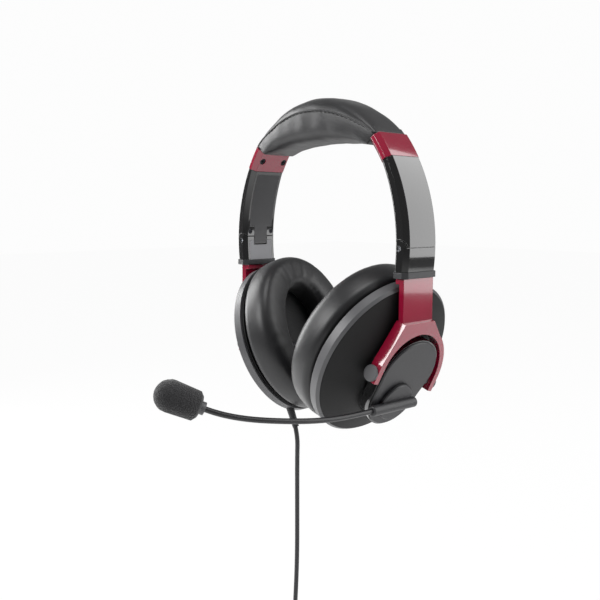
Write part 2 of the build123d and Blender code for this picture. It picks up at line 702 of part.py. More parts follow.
for side, s in SIDES.items():
    rim_inner = (RIM_HALF_TALL - RIM_WALL, RIM_HALF_WIDE - RIM_WALL)

    # Strain relief of the cable: a tapered sleeve that points down out of the right cup's rim.
    relief_top = cup_plane(side).from_local_coords((s * RELIEF_Y, RELIEF_TOP, RELIEF_N))
    relief_axis = Plane(origin=relief_top, z_dir=-cup_plane(side).y_dir)
    with BuildPart() as relief_solid:
        with BuildSketch(relief_axis):
            Circle(RELIEF_TOP_R)
        with BuildSketch(relief_axis.offset(RELIEF_TOP - RELIEF_BOTTOM)):
            Circle(RELIEF_END_R)
        loft()

    with BuildPart() as cup_rim:
        add(cup_disc(side, RIM_LOW, RIM_HIGH, RIM_HALF_TALL, RIM_HALF_WIDE))
        top_edge = cup_rim.faces().sort_by(Axis(cup_plane(side).origin, cup_plane(side).z_dir))[-1].edges()
        chamfer(top_edge, 1.5)
        add(cup_disc(side, RIM_LOW, RIM_HIGH, *rim_inner), mode=Mode.SUBTRACT)
        if side == "right":
            add(relief_solid.part, mode=Mode.SUBTRACT)
    save(cup_rim, f"cup_rim_{side}")

    # Cup back: a skirt inside the rim, the cone, and a raised seat for the pivot housing.
    with BuildPart() as cup_back:
        add(cup_disc(side, BAFFLE_HIGH, RIM_HIGH, *rim_inner))
        add(cup_cone(side, 0, RIM_HIGH, BACK_TOP))
        with BuildSketch(housing_plane(side, RIM_HIGH)):
            housing_outline(-1.0)
        extrude(amount=HOUSING_BASE - RIM_HIGH)
        add(
            cup_disc(side, BAFFLE_HIGH, RIM_HIGH, rim_inner[0] - BACK_WALL, rim_inner[1] - BACK_WALL),
            mode=Mode.SUBTRACT,
        )
        add(cup_cone(side, BACK_WALL, RIM_HIGH - 0.01, BACK_TOP - BACK_WALL), mode=Mode.SUBTRACT)
        if side == "right":
            add(relief_solid.part, mode=Mode.SUBTRACT)
    save(cup_back, f"cup_back_{side}")

    # Pivot housing with bores for the two pins.
    arch = arch_plane(side)
    with BuildPart() as pivot_housing:
        with BuildSketch(housing_plane(side, HOUSING_BASE)):
            housing_outline()
        extrude(amount=HOUSING_TOP - HOUSING_BASE)
        with BuildSketch(Plane(origin=arch.origin - arch.x_dir * 40, z_dir=arch.x_dir)):
            Circle(PIVOT_PIN_R + RUNNING_GAP)
        extrude(amount=40 - PIN_BORE_END, mode=Mode.SUBTRACT)
        with BuildSketch(Plane(origin=arch.origin + arch.x_dir * 40, z_dir=-arch.x_dir)):
            Circle(PIVOT_PIN_R + RUNNING_GAP)
        extrude(amount=40 - PIN_BORE_END, mode=Mode.SUBTRACT)
    save(pivot_housing, f"pivot_housing_{side}")

    with BuildPart() as side_plate:
        with BuildSketch(housing_plane(side, HOUSING_TOP)):
            housing_outline(-0.8)
        extrude(amount=SIDE_PLATE_TOP - HOUSING_TOP)
        plate_face = side_plate.faces().sort_by(Axis(arch.origin, housing_plane(side).z_dir))[-1]
        chamfer(plate_face.edges(), 0.6)
    save(side_plate, f"side_plate_{side}")

    screw_face = cup_plane(side, BAFFLE_LOW)
    screw_face = Plane(origin=screw_face.origin, x_dir=screw_face.x_dir, z_dir=-screw_face.z_dir)
    baffle_screw_places = [(x, y) for x in (-24, 24) for y in (-32, 32)]
    with BuildPart() as baffle_screws:
        add(screws(screw_face, baffle_screw_places, **BAFFLE_SCREW))
    save(baffle_screws, f"baffle_screws_{side}")

    # Baffle: closes the cup and has slots in front of the driver.
    with BuildPart() as baffle:
        add(cup_disc(side, BAFFLE_LOW, BAFFLE_HIGH, *rim_inner))
        with BuildSketch(cup_plane(side, BAFFLE_LOW)):
            for slot_y in range(-15, 16, 5):
                with Locations((0, slot_y)):
                    SlotOverall(2 * sqrt(20**2 - slot_y**2), 2.2)
        extrude(amount=BAFFLE_HIGH - BAFFLE_LOW, mode=Mode.SUBTRACT)
        add(baffle_screws.part, mode=Mode.SUBTRACT)
        with BuildSketch(screw_face):
            with Locations(*baffle_screw_places):
                Circle(BAFFLE_SCREW["head_r"])
        extrude(amount=-BAFFLE_SCREW["head_height"] * 0.6, mode=Mode.SUBTRACT)
        if side == "right":
            add(relief_solid.part, mode=Mode.SUBTRACT)
    save(baffle, f"baffle_{side}")

    # Driver: basket against the baffle, with a smaller magnet pot behind it.
    with BuildPart() as driver:
        with BuildSketch(cup_plane(side, BAFFLE_HIGH)):
            Circle(DRIVER_R)
        extrude(amount=DRIVER_BASKET_HEIGHT)
        with BuildSketch(cup_plane(side, BAFFLE_HIGH + DRIVER_BASKET_HEIGHT)):
            Circle(MAGNET_R)
        extrude(amount=MAGNET_HEIGHT)
    save(driver, f"driver_{side}")

    with BuildPart() as cushion_ring:
        add(cup_disc(side, CLIP_LOW, RIM_LOW, RIM_HALF_TALL - 1.6, RIM_HALF_WIDE - 1.6))
        add(cup_disc(side, CLIP_LOW, RIM_LOW, 40.0, 36.5), mode=Mode.SUBTRACT)
    save(cushion_ring, f"cushion_ring_{side}")

    with BuildPart() as ear_mesh:
        add(cup_disc(side, RIM_LOW - 0.7, RIM_LOW, 39.8, 36.3))
    save(ear_mesh, f"ear_mesh_{side}")

    # Ear cushion: a thick oval ring with round edges.
    with BuildPart() as ear_cushion:
        add(cup_disc(side, CUSHION_LOW, CLIP_LOW, CUSHION_HALF_TALL, CUSHION_HALF_WIDE))
        add(cup_disc(side, CUSHION_LOW, CLIP_LOW, EAR_HALF_TALL, EAR_HALF_WIDE), mode=Mode.SUBTRACT)
        along = Axis(cup_plane(side).origin, cup_plane(side).z_dir)
        fillet(ear_cushion.faces().sort_by(along)[0].edges(), CUSHION_FACE_ROUND)
        outer_edge = ear_cushion.faces().sort_by(along)[-1].edges().sort_by(SortBy.LENGTH)[-1]
        fillet(outer_edge, CUSHION_RIM_ROUND)
    save(ear_cushion, f"ear_cushion_{side}")


# ---------------------------------------------------------------- boom microphone

hub_level = cup_plane("left", HUB_LOW)
hub_middle = hub_level.from_local_coords((HUB_Y, HUB_Z, 0))
hub_plane = Plane(origin=hub_middle, x_dir=hub_level.x_dir, z_dir=hub_level.z_dir)
forward = -hub_plane.x_dir
with BuildPart() as boom_hub:
    with BuildSketch(hub_plane):
        Circle(HUB_R)
    extrude(amount=HUB_HIGH - HUB_LOW)
    chamfer(boom_hub.faces().sort_by(Axis(hub_middle, hub_plane.z_dir))[-1].edges(), HUB_BEVEL)
save(boom_hub, "boom_hub")

holder_front = hub_plane.from_local_coords((HOLDER_FRONT, HOLDER_DROP, HOLDER_N - HUB_LOW))
holder_back = hub_plane.from_local_coords((HOLDER_BACK, HOLDER_DROP, HOLDER_N - HUB_LOW))

# The boom starts inside the holder, runs forward and bends in towards the mouth.
boom_points = [
    holder_front + hub_plane.x_dir * 6,
    holder_front,
    Vector(57.6, -54.1, HINGE_Z - 89.2),
    Vector(51.1, -82.3, HINGE_Z - 85.6),
    Vector(36.2, -116.5, HINGE_Z - 76.0),
]
tip = Vector(30.0, -127.4, HINGE_Z - 70.3)
with BuildPart() as boom:
    with BuildLine():
        Line(boom_points[0], boom_points[1])
        Spline(*boom_points[1:], tangents=[forward, tip - boom_points[-1]])
    with BuildSketch(Plane(origin=boom_points[0], z_dir=forward)):
        Circle(BOOM_R)
    sweep()
save(boom, "boom")

with BuildPart() as boom_holder:
    with BuildSketch(Plane(origin=holder_back, z_dir=forward)):
        Circle(HOLDER_R)
    extrude(amount=HOLDER_BACK - HOLDER_FRONT)
    fillet(boom_holder.edges().filter_by(GeomType.CIRCLE), 0.9)
    add(boom_hub.part, mode=Mode.SUBTRACT)
    add(boom.part, mode=Mode.SUBTRACT)
save(boom_holder, "boom_holder")

tip_direction = (tip - boom_points[-1]).normalized()
capsule_start = Plane(origin=boom_points[-1], z_dir=tip_direction)
with BuildPart() as microphone_capsule:
    with BuildSketch(capsule_start):
        Circle(CAPSULE_R)
    extrude(amount=CAPSULE_LENGTH)
save(microphone_capsule, "microphone_capsule")

# Windscreen: a round-ended foam cap pushed over the capsule.
with BuildPart() as windscreen:
    with BuildSketch(capsule_start.offset(WINDSCREEN_START)):
        Circle(WINDSCREEN_R)
    extrude(amount=WINDSCREEN_LENGTH)
    ends = windscreen.edges().filter_by(GeomType.CIRCLE).sort_by(Axis(capsule_start.origin, tip_direction))
    fillet(ends[-1], WINDSCREEN_R - 0.3)
    fillet(ends[0], WINDSCREEN_BACK_ROUND)
    add(microphone_capsule.part, mode=Mode.SUBTRACT)
save(windscreen, "windscreen")


# ---------------------------------------------------------------- cable

relief_end = relief_axis.offset(RELIEF_TOP - RELIEF_BOTTOM)
cable_start = relief_end.offset(-CABLE_IN_RELIEF).origin
with BuildPart() as cable_bore:
    with BuildSketch(relief_end):
        Circle(CABLE_R)
    extrude(amount=-CABLE_IN_RELIEF)
with BuildPart() as strain_relief:
    add(relief_solid.part)
    add(cable_bore.part, mode=Mode.SUBTRACT)
save(strain_relief, "strain_relief")

# The cable hangs down from the relief into a small tied coil.
COIL_Z = -277.0
HANG_X = -22.5
HANG_Y = -4.5
coil_middle = Vector(HANG_X, HANG_Y + COIL_R, HINGE_Z + COIL_Z)
route = [
    cable_start,
    Vector(-19.6, -6.6, HINGE_Z - 126.0),
    Vector(-20.6, -6.2, HINGE_Z - 142.0),
    Vector(-22.4, -4.6, HINGE_Z - 171.0),
    Vector(-22.2, -4.8, HINGE_Z - 216.0),
    Vector(HANG_X, HANG_Y, HINGE_Z + COIL_Z + 14.0),
]


def bend_radii(points):
    """Arc radius at each inner point: 0.45 of the shorter run over the tangent of half the turn."""
    radii = []
    for before, here, after in zip(points, points[1:], points[2:]):
        turn = (here - before).get_angle(after - here)
        shorter = min((here - before).length, (after - here).length)
        radii.append(0.45 * shorter / tan(radians(turn) / 2))
    return radii


radii = bend_radii(route)
print("cable radii", [round(r, 1) for r in radii])

with BuildPart() as cable_coil:
    with BuildSketch(Plane(origin=coil_middle + Vector(0, COIL_R, 0), x_dir=(1, 0, 0), z_dir=(0, 0, 1))):
        Circle(COIL_SECTION_R)
    revolve(axis=Axis(coil_middle, (1, 0, 0)))
save(cable_coil, "cable_coil")

with BuildPart() as cable:
    with BuildLine():
        FilletPolyline(*route, radius=radii)
    with BuildSketch(Plane(origin=cable_start, z_dir=relief_axis.z_dir)):
        Circle(CABLE_R)
    sweep()
    add(cable_coil.part, mode=Mode.SUBTRACT)
save(cable, "cable")

# Tie: a strap round the bundle at the coil's back.
with BuildPart() as cable_tie:
    with BuildSketch(Plane(origin=coil_middle + Vector(0, COIL_R, 0), x_dir=(1, 0, 0), z_dir=(0, 0, 1))):
        Circle(COIL_SECTION_R + 1.0)
        Circle(COIL_SECTION_R, mode=Mode.SUBTRACT)
    revolve(axis=Axis(coil_middle, (1, 0, 0)), revolution_arc=22)
save(cable_tie, "cable_tie")

tail_top = Vector(HANG_X, HANG_Y, HINGE_Z + COIL_Z - 14.0)
TAIL_LENGTH = 16.0
PLUG_NECK_R = 2.1
PLUG_SHOULDER_R = 3.0
PLUG_R = 4.2
PLUG_LENGTH = 24.0
PLUG_NECK = 9.0
JACK_R = 1.75
JACK_LENGTH = 14.0
downward = Plane(origin=tail_top, z_dir=(0, 0, -1))
with BuildPart() as cable_tail:
    with BuildSketch(downward):
        Circle(CABLE_R)
    extrude(amount=TAIL_LENGTH)
    add(cable_coil.part, mode=Mode.SUBTRACT)
save(cable_tail, "cable_tail")

plug_top = downward.offset(TAIL_LENGTH)
with BuildPart() as plug_body:
    with BuildSketch(plug_top):
        Circle(PLUG_NECK_R)
    with BuildSketch(plug_top.offset(PLUG_NECK)):
        Circle(PLUG_SHOULDER_R)
    loft()
    with BuildSketch(plug_top.offset(PLUG_NECK)):
        Circle(PLUG_R)
    extrude(amount=PLUG_LENGTH - PLUG_NECK)
save(plug_body, "plug_body")

# Jack pin: a round shaft, a groove behind the tip, and the tip's cone.
with BuildPart() as plug_pin:
    with BuildSketch(plug_top.offset(PLUG_LENGTH)):
        Circle(JACK_R)
    extrude(amount=JACK_LENGTH - 2.6)
    with BuildSketch(plug_top.offset(PLUG_LENGTH + JACK_LENGTH - 2.6)):
        Circle(1.3)
    with BuildSketch(plug_top.offset(PLUG_LENGTH + JACK_LENGTH - 1.6)):
        Circle(JACK_R - 0.05)
    loft()
    with BuildSketch(plug_top.offset(PLUG_LENGTH + JACK_LENGTH - 1.6)):
        Circle(JACK_R - 0.05)
    with BuildSketch(plug_top.offset(PLUG_LENGTH + JACK_LENGTH)):
        Circle(0.6)
    loft()
save(plug_pin, "plug_pin")
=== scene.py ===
"""Gaming headset in studio light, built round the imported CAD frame.

Lengths are worked out in millimetres and turned to metres by MM. The origin is the head rest.
"""

from math import cos, pi, radians, sin

import bmesh
import bpy
from mathutils import Matrix, Vector, noise


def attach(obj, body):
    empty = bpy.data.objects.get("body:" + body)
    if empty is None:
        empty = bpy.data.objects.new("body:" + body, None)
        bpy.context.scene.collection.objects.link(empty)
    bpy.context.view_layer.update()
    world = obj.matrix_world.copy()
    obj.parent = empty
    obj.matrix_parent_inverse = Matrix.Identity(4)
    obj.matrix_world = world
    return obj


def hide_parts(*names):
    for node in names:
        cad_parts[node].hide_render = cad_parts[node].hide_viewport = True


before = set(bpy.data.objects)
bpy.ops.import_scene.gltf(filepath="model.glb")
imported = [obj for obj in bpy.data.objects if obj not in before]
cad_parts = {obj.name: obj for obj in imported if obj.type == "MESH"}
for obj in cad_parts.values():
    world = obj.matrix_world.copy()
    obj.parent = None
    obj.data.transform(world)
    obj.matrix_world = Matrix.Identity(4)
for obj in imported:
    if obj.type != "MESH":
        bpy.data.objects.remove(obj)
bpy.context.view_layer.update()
MM = 0.001

# ------------------------------------------------------------------ camera
# A short telephoto lens stands in front of the headset, to its left side and a little above.
camera_data = bpy.data.cameras.new("camera")
camera_data.lens = 42.0
camera_data.sensor_width = 36.0
camera_data.clip_start = 0.01
camera = bpy.data.objects.new("camera", camera_data)
bpy.context.scene.collection.objects.link(camera)
camera_place = Vector((315.6, -302.1, -40.5)) * MM
camera_target = Vector((-10.9, -12.3, -95.6)) * MM
camera.location = camera_place
camera.rotation_euler = (camera_target - camera_place).to_track_quat("-Z", "Y").to_euler()
bpy.context.scene.camera = camera

# ------------------------------------------------------------------ cable
# A 3 mm round lead with a rubber jacket hangs from the right cup. What is left of its length is
# wound into a small bundle tied with a strap, and it ends in a 3.5 mm plug.
CABLE_DIAMETER = 3.0
COIL_MIDDLE = Vector((-22.5, 12.0, -337.0))
COIL_TURN_R = 16.5
POINTS_PER_TURN = 16
INNER_LAY_R = 1.75
OUTER_LAY_R = 4.6
FIRST_CHANGE_ANGLE = 300
CHANGE_STEP_BACK = 24
CHANGE_ANGLE = 30


def linear(hex_colour):
    """Turns an sRGB hex colour into the linear RGBA that a shader takes."""
    channels = [int(hex_colour[i : i + 2], 16) / 255 for i in (1, 3, 5)]
    light = [c / 12.92 if c <= 0.04045 else ((c + 0.055) / 1.055) ** 2.4 for c in channels]
    return (*light, 1.0)


def new_material(name):
    """An empty material to which nodes are added."""
    material = bpy.data.materials.new(name)
    material.use_nodes = True
    material.node_tree.nodes.clear()
    return material


def add_node(material, kind, inputs=None, **settings):
    """Adds one node, sets its properties, and fills or links its inputs by name or number."""
    made = material.node_tree.nodes.new(kind)
    for name, value in settings.items():
        setattr(made, name, value)
    for name, value in (inputs or {}).items():
        if isinstance(value, bpy.types.NodeSocket):
            material.node_tree.links.new(value, made.inputs[name])
        else:
            made.inputs[name].default_value = value
    return made


def new_object(name, data, material, body):
    """Puts a finished mesh or curve in the scene, in its material and on its body."""
    made = bpy.data.objects.new(name, data)
    bpy.context.scene.collection.objects.link(made)
    data.materials.append(material)
    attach(made, body)
    return made


def dress(material, *names):
    """Gives CAD nodes their finished material."""
    for name in names:
        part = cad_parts[name]
        if part.material_slots:
            part.material_slots[0].material = material
        else:
            part.data.materials.append(material)


# Extruded TPE jacket: soft black with a low, even sheen and a fine dull grain.
cable_rubber = new_material("extruded_tpe_jacket")
place = add_node(cable_rubber, "ShaderNodeTexCoord").outputs["Object"]
grain = add_node(
    cable_rubber, "ShaderNodeTexNoise", {"Vector": place, "Scale": 1 / (0.6 * MM), "Detail": 3.0}
)
jacket_shade = add_node(
    cable_rubber,
    "ShaderNodeMix",
    {0: grain.outputs["Fac"], 6: linear("#1b1b1d"), 7: linear("#29292c")},
    data_type="RGBA",
)
jacket_bump = add_node(
    cable_rubber,
    "ShaderNodeBump",
    {"Height": grain.outputs["Fac"], "Strength": 0.25, "Distance": 0.05 * MM},
)
jacket = add_node(
    cable_rubber,
    "ShaderNodeBsdfPrincipled",
    {
        "Base Color": jacket_shade.outputs[2],
        "Roughness": 0.5,
        "IOR": 1.5,
        "Normal": jacket_bump.outputs["Normal"],
    },
)
add_node(cable_rubber, "ShaderNodeOutputMaterial", {"Surface": jacket.outputs["BSDF"]})

# The strands of the bundle, as angle and distance from its middle: in on one side, out on the other.
# Each turn changes to the next strand a little earlier than the turn before it.
strands = [
    (67.5, OUTER_LAY_R),
    (22.5, OUTER_LAY_R),
    (-22.5, OUTER_LAY_R),
    (-67.5, OUTER_LAY_R),
    (-30.0, INNER_LAY_R),
    (90.0, INNER_LAY_R),
    (210.0, INNER_LAY_R),
    (247.5, OUTER_LAY_R),
    (202.5, OUTER_LAY_R),
    (157.5, OUTER_LAY_R),
    (112.5, OUTER_LAY_R),
]
hanging_points = [
    Vector((-22.99, -7.59, -175.59)),
    Vector((-19.6, -6.6, -186.0)),
    Vector((-20.6, -6.2, -202.0)),
    Vector((-22.4, -4.6, -231.0)),
    Vector((-22.2, -4.8, -276.0)),
    Vector((-21.4, -8.0, -316.0)),
]
tail_points = [
    Vector((-24.0, -8.0, -346.0)),
    Vector((-22.9, -5.4, -356.0)),
    Vector((-22.5, -4.5, -362.0)),
    Vector((-22.5, -4.5, -370.0)),
]
coil_points = []
for turn, (angle, distance) in enumerate(strands):
    last = turn == len(strands) - 1
    next_angle, next_distance = strands[turn] if last else strands[turn + 1]
    change = radians(FIRST_CHANGE_ANGLE - CHANGE_STEP_BACK * turn)
    for step in range(POINTS_PER_TURN + (1 if last else 0)):
        round_angle = 2 * pi * step / POINTS_PER_TURN
        moved = min(max((round_angle - change) / radians(CHANGE_ANGLE), 0.0), 1.0)
        here = Vector((distance * cos(radians(angle)), distance * sin(radians(angle))))
        there = Vector((next_distance * cos(radians(next_angle)), next_distance * sin(radians(next_angle))))
        lay = here.lerp(there, moved)
        turn_r = (COIL_TURN_R + lay.y) / cos(pi / POINTS_PER_TURN)
        coil_points.append(
            COIL_MIDDLE + Vector((lay.x, -turn_r * cos(round_angle), -turn_r * sin(round_angle)))
        )

cable_curve = bpy.data.curves.new("cable_lead", "CURVE")
cable_curve.dimensions = "3D"
cable_curve.bevel_depth = CABLE_DIAMETER / 2 * MM
cable_curve.bevel_resolution = 5
cable_curve.use_fill_caps = True
cable_curve.resolution_u = 6
cable_line = cable_curve.splines.new("NURBS")
cable_route = hanging_points + coil_points + tail_points
cable_line.points.add(len(cable_route) - 1)
for control, point in zip(cable_line.points, cable_route):
    control.co = (*(point * MM), 1.0)
cable_line.order_u = 3
cable_line.use_endpoint_u = True
cable_lead = new_object("cable_lead", cable_curve, cable_rubber, "cup_right")
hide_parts("cable", "cable_coil", "cable_tail")
dress(cable_rubber, "cable", "cable_coil", "cable_tail", "strain_relief")

# ------------------------------------------------------------------ plug and tie
# The plug's handle is moulded in soft black PVC, its four-pole pin is turned brass with a nickel
# plate and three insulating rings. The tie is a strap of hook-and-loop tape.
moulded_pvc = new_material("moulded_pvc_grip")
place = add_node(moulded_pvc, "ShaderNodeTexCoord").outputs["Object"]
texture = add_node(
    moulded_pvc, "ShaderNodeTexNoise", {"Vector": place, "Scale": 1 / (0.5 * MM), "Detail": 2.0}
)
grip_shade = add_node(
    moulded_pvc,
    "ShaderNodeMix",
    {0: texture.outputs["Fac"], 6: linear("#161617"), 7: linear("#222224")},
    data_type="RGBA",
)
grip_bump = add_node(
    moulded_pvc,
    "ShaderNodeBump",
    {"Height": texture.outputs["Fac"], "Strength": 0.3, "Distance": 0.05 * MM},
)
grip = add_node(
    moulded_pvc,
    "ShaderNodeBsdfPrincipled",
    {
        "Base Color": grip_shade.outputs[2],
        "Roughness": 0.42,
        "IOR": 1.53,
        "Normal": grip_bump.outputs["Normal"],
    },
)
add_node(moulded_pvc, "ShaderNodeOutputMaterial", {"Surface": grip.outputs["BSDF"]})
dress(moulded_pvc, "plug_body")

# Nickel plate over turned brass: bright, with the faint rings of the lathe and dark insulators.
PIN_FROM_HEAD_REST = 390.8
RING_SPACING = 3.2
RING_HALF_WIDTH = 0.3
nickel_plate = new_material("nickel_plated_brass")
place = add_node(nickel_plate, "ShaderNodeTexCoord").outputs["Object"]
height = add_node(nickel_plate, "ShaderNodeSeparateXYZ", {"Vector": place}).outputs["Z"]
along = add_node(
    nickel_plate, "ShaderNodeMath", {0: height, 1: PIN_FROM_HEAD_REST * MM}, operation="ADD"
)
poles = add_node(
    nickel_plate, "ShaderNodeMath", {0: along.outputs[0], 1: RING_SPACING * MM}, operation="PINGPONG"
)
insulator = add_node(
    nickel_plate, "ShaderNodeMath", {0: poles.outputs[0], 1: RING_HALF_WIDTH * MM}, operation="LESS_THAN"
)
lathe = add_node(
    nickel_plate, "ShaderNodeTexNoise", {"Vector": place, "Scale": 1 / (0.2 * MM), "Detail": 1.0}
)
polish = add_node(
    nickel_plate,
    "ShaderNodeMapRange",
    {"Value": lathe.outputs["Fac"], "To Min": 0.16, "To Max": 0.28},
)
pin_shade = add_node(
    nickel_plate,
    "ShaderNodeMix",
    {0: insulator.outputs[0], 6: linear("#c9c6bf"), 7: linear("#101010")},
    data_type="RGBA",
)
conducts = add_node(
    nickel_plate, "ShaderNodeMath", {0: 1.0, 1: insulator.outputs[0]}, operation="SUBTRACT"
)
pin_metal = add_node(
    nickel_plate,
    "ShaderNodeBsdfPrincipled",
    {
        "Base Color": pin_shade.outputs[2],
        "Metallic": conducts.outputs[0],
        "Roughness": polish.outputs["Result"],
    },
)
add_node(nickel_plate, "ShaderNodeOutputMaterial", {"Surface": pin_metal.outputs["BSDF"]})
dress(nickel_plate, "plug_pin")

# Knitted nylon tape: dull black with a loop pile about half a millimetre across.
loop_tape = new_material("hook_and_loop_tape")
place = add_node(loop_tape, "ShaderNodeTexCoord").outputs["Object"]
pile = add_node(loop_tape, "ShaderNodeTexVoronoi", {"Vector": place, "Scale": 1 / (0.5 * MM)})
tape_shade = add_node(
    loop_tape,
    "ShaderNodeMix",
    {0: pile.outputs["Distance"], 6: linear("#1e1e20"), 7: linear("#0b0b0c")},
    data_type="RGBA",
)
tape_bump = add_node(
    loop_tape,
    "ShaderNodeBump",
    {"Height": pile.outputs["Distance"], "Strength": 0.8, "Distance": 0.2 * MM},
)
tape = add_node(
    loop_tape,
    "ShaderNodeBsdfPrincipled",
    {
        "Base Color": tape_shade.outputs[2],
        "Roughness": 0.9,
        "Sheen Weight": 0.3,
        "Normal": tape_bump.outputs["Normal"],
    },
)
add_node(loop_tape, "ShaderNodeOutputMaterial", {"Surface": tape.outputs["BSDF"]})
dress(loop_tape, "cable_tie")

# ------------------------------------------------------------------ headband pad
# A foam crescent covered in smooth leatherette. It is round on top, nearly flat where it rests on
# the head, and sewn along the front and back edges with a top panel between the two seams.
PAD_ARC_Z = -40.24
PAD_ARC_R = 67.7
PAD_TOP_ANGLE = 50.6
PAD_BASE_X = 45.0
PAD_BASE_DROP = 4.0
PAD_HALF_DEPTH = 17.4
PAD_HALF_DEPTH_END = 13.7
PAD_CORNER = 2.8
PAD_END_SQUARENESS = 5.0
PAD_ROWS = 96
PAD_ROUND = 56
PAD_UNDERSIZE = 0.3
PAD_FOLD_DEPTH = 0.25
SEAM_ANGLE = 15.0


def pad_frame(u):
    """Middle, height direction, half height and half depth of the pad at u from -1 to 1."""
    angle = radians(PAD_TOP_ANGLE) * u
    top = Vector((PAD_ARC_R * sin(angle), 0, PAD_ARC_Z + PAD_ARC_R * cos(angle)))
    base = Vector((PAD_BASE_X * u, 0, -PAD_BASE_DROP * u * u))
    depth = PAD_HALF_DEPTH + (PAD_HALF_DEPTH_END - PAD_HALF_DEPTH) * u * u
    return (top + base) / 2, (top - base).normalized(), (top - base).length / 2, depth


def pad_point(u, angle, grow=0.0):
    """Point of the pad's cover: 0 degrees is the back, 90 the top, 180 the front."""
    middle, up, tall, deep = pad_frame(u)
    c = cos(radians(angle))
    s = sin(radians(angle))
    corner = 2 / (PAD_CORNER + PAD_END_SQUARENESS * u**8)
    across = (deep + grow) * abs(c) ** corner * (1 if c > 0 else -1)
    rise = (tall + grow) * abs(s) ** corner * (1 if s > 0 else -1)
    return middle + Vector((0, across, 0)) + up * rise


def leather_cover(name, grain_size, dark, light, shine):
    """Leatherette: a soft satin skin with a pebbled grain, slightly lighter in broad random patches."""
    cover = new_material(name)
    spot = add_node(cover, "ShaderNodeTexCoord").outputs["Object"]
    pebbles = add_node(
        cover,
        "ShaderNodeTexVoronoi",
        {"Vector": spot, "Scale": 1 / (grain_size * MM), "Randomness": 1.0},
        feature="DISTANCE_TO_EDGE",
    )
    patches = add_node(
        cover, "ShaderNodeTexNoise", {"Vector": spot, "Scale": 1 / (14 * MM), "Detail": 4.0}
    )
    rubbed = add_node(
        cover,
        "ShaderNodeMix",
        {0: patches.outputs["Fac"], 6: linear(dark), 7: linear(light)},
        data_type="RGBA",
    )
    gloss = add_node(
        cover,
        "ShaderNodeMapRange",
        {"Value": patches.outputs["Fac"], "To Min": shine - 0.06, "To Max": shine + 0.08},
    )
    relief = add_node(
        cover,
        "ShaderNodeBump",
        {"Height": pebbles.outputs["Distance"], "Strength": 0.35, "Distance": 0.12 * MM},
    )
    skin = add_node(
        cover,
        "ShaderNodeBsdfPrincipled",
        {
            "Base Color": rubbed.outputs[2],
            "Roughness": gloss.outputs["Result"],
            "IOR": 1.48,
            "Sheen Weight": 0.12,
            "Sheen Roughness": 0.4,
            "Normal": relief.outputs["Normal"],
        },
    )
    add_node(cover, "ShaderNodeOutputMaterial", {"Surface": skin.outputs["BSDF"]})
    return cover


def grid_mesh(name, rows, closed_rows=False):
    """Mesh through rings of points. The last ring joins the first, or else both ends are closed."""
    mesh = bpy.data.meshes.new(name)
    work = bmesh.new()
    placed = [[work.verts.new(point * MM) for point in row] for row in rows]
    pairs = list(zip(placed, placed[1:]))
    if closed_rows:
        pairs.append((placed[-1], placed[0]))
    for first, second in pairs:
        for i in range(len(first)):
            j = (i + 1) % len(first)
            work.faces.new((first[i], first[j], second[j], second[i]))
    if not closed_rows:
        work.faces.new(placed[0])
        work.faces.new(placed[-1])
    bmesh.ops.recalc_face_normals(work, faces=work.faces)
    for face in work.faces:
        face.smooth = True
    work.to_mesh(mesh)
    work.free()
    return mesh


def tube_mesh(name, path, radius, sides=10, closed=False):
    """Round tube along a path of points."""
    rows = []
    for i, point in enumerate(path):
        before = path[i - 1] if i or closed else point
        after = path[(i + 1) % len(path)] if i + 1 < len(path) or closed else point
        along = (after - before).normalized()
        side = along.orthogonal().normalized() if i == 0 else (side - along * side.dot(along)).normalized()
        other = along.cross(side)
        rows.append(
            [
                point + (side * cos(2 * pi * k / sides) + other * sin(2 * pi * k / sides)) * radius
                for k in range(sides)
            ]
        )
    return grid_mesh(name, rows, closed_rows=closed)


pad_leather = leather_cover("smooth_leatherette_pad", 1.1, "#161618", "#1e1e20", 0.4)
pad_rows = []
for row in range(PAD_ROWS + 1):
    u = -1 + 2 * row / PAD_ROWS
    ring = []
    for k in range(PAD_ROUND):
        angle = 360 * k / PAD_ROUND
        fold = noise.noise(Vector((u * 6, cos(radians(angle)) * 2, sin(radians(angle)) * 2)))
        ring.append(pad_point(u, angle, PAD_FOLD_DEPTH * fold - PAD_UNDERSIZE))
    pad_rows.append(ring)
pad_cover = new_object("pad_cover", grid_mesh("pad_cover", pad_rows), pad_leather, "headband")
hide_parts("headband_pad")

# The seams are a turned edge of the same leatherette, with a row of stitches just below it.
WELT_R = 0.55
WELT_SINK = 0.25
WELT_POINTS = 90
STITCH_LENGTH = 2.4
STITCH_PITCH = 3.4
STITCH_R = 0.35
STITCH_SINK = 0.1
STITCH_DROP_ANGLE = 3.5
STITCH_SAMPLES = 400
SEAM_REACH = 0.985
STITCH_REACH = 0.97
# Bonded polyester thread: twisted black strands that catch little light.
thread = new_material("bonded_polyester_thread")
place = add_node(thread, "ShaderNodeTexCoord").outputs["Object"]
twist = add_node(
    thread, "ShaderNodeTexWave", {"Vector": place, "Scale": 1 / (1.2 * MM), "Distortion": 1.0}
)
thread_shade = add_node(
    thread,
    "ShaderNodeMix",
    {0: twist.outputs["Fac"], 6: linear("#070708"), 7: linear("#141416")},
    data_type="RGBA",
)
thread_fibre = add_node(
    thread, "ShaderNodeBsdfPrincipled", {"Base Color": thread_shade.outputs[2], "Roughness": 0.6}
)
add_node(thread, "ShaderNodeOutputMaterial", {"Surface": thread_fibre.outputs["BSDF"]})

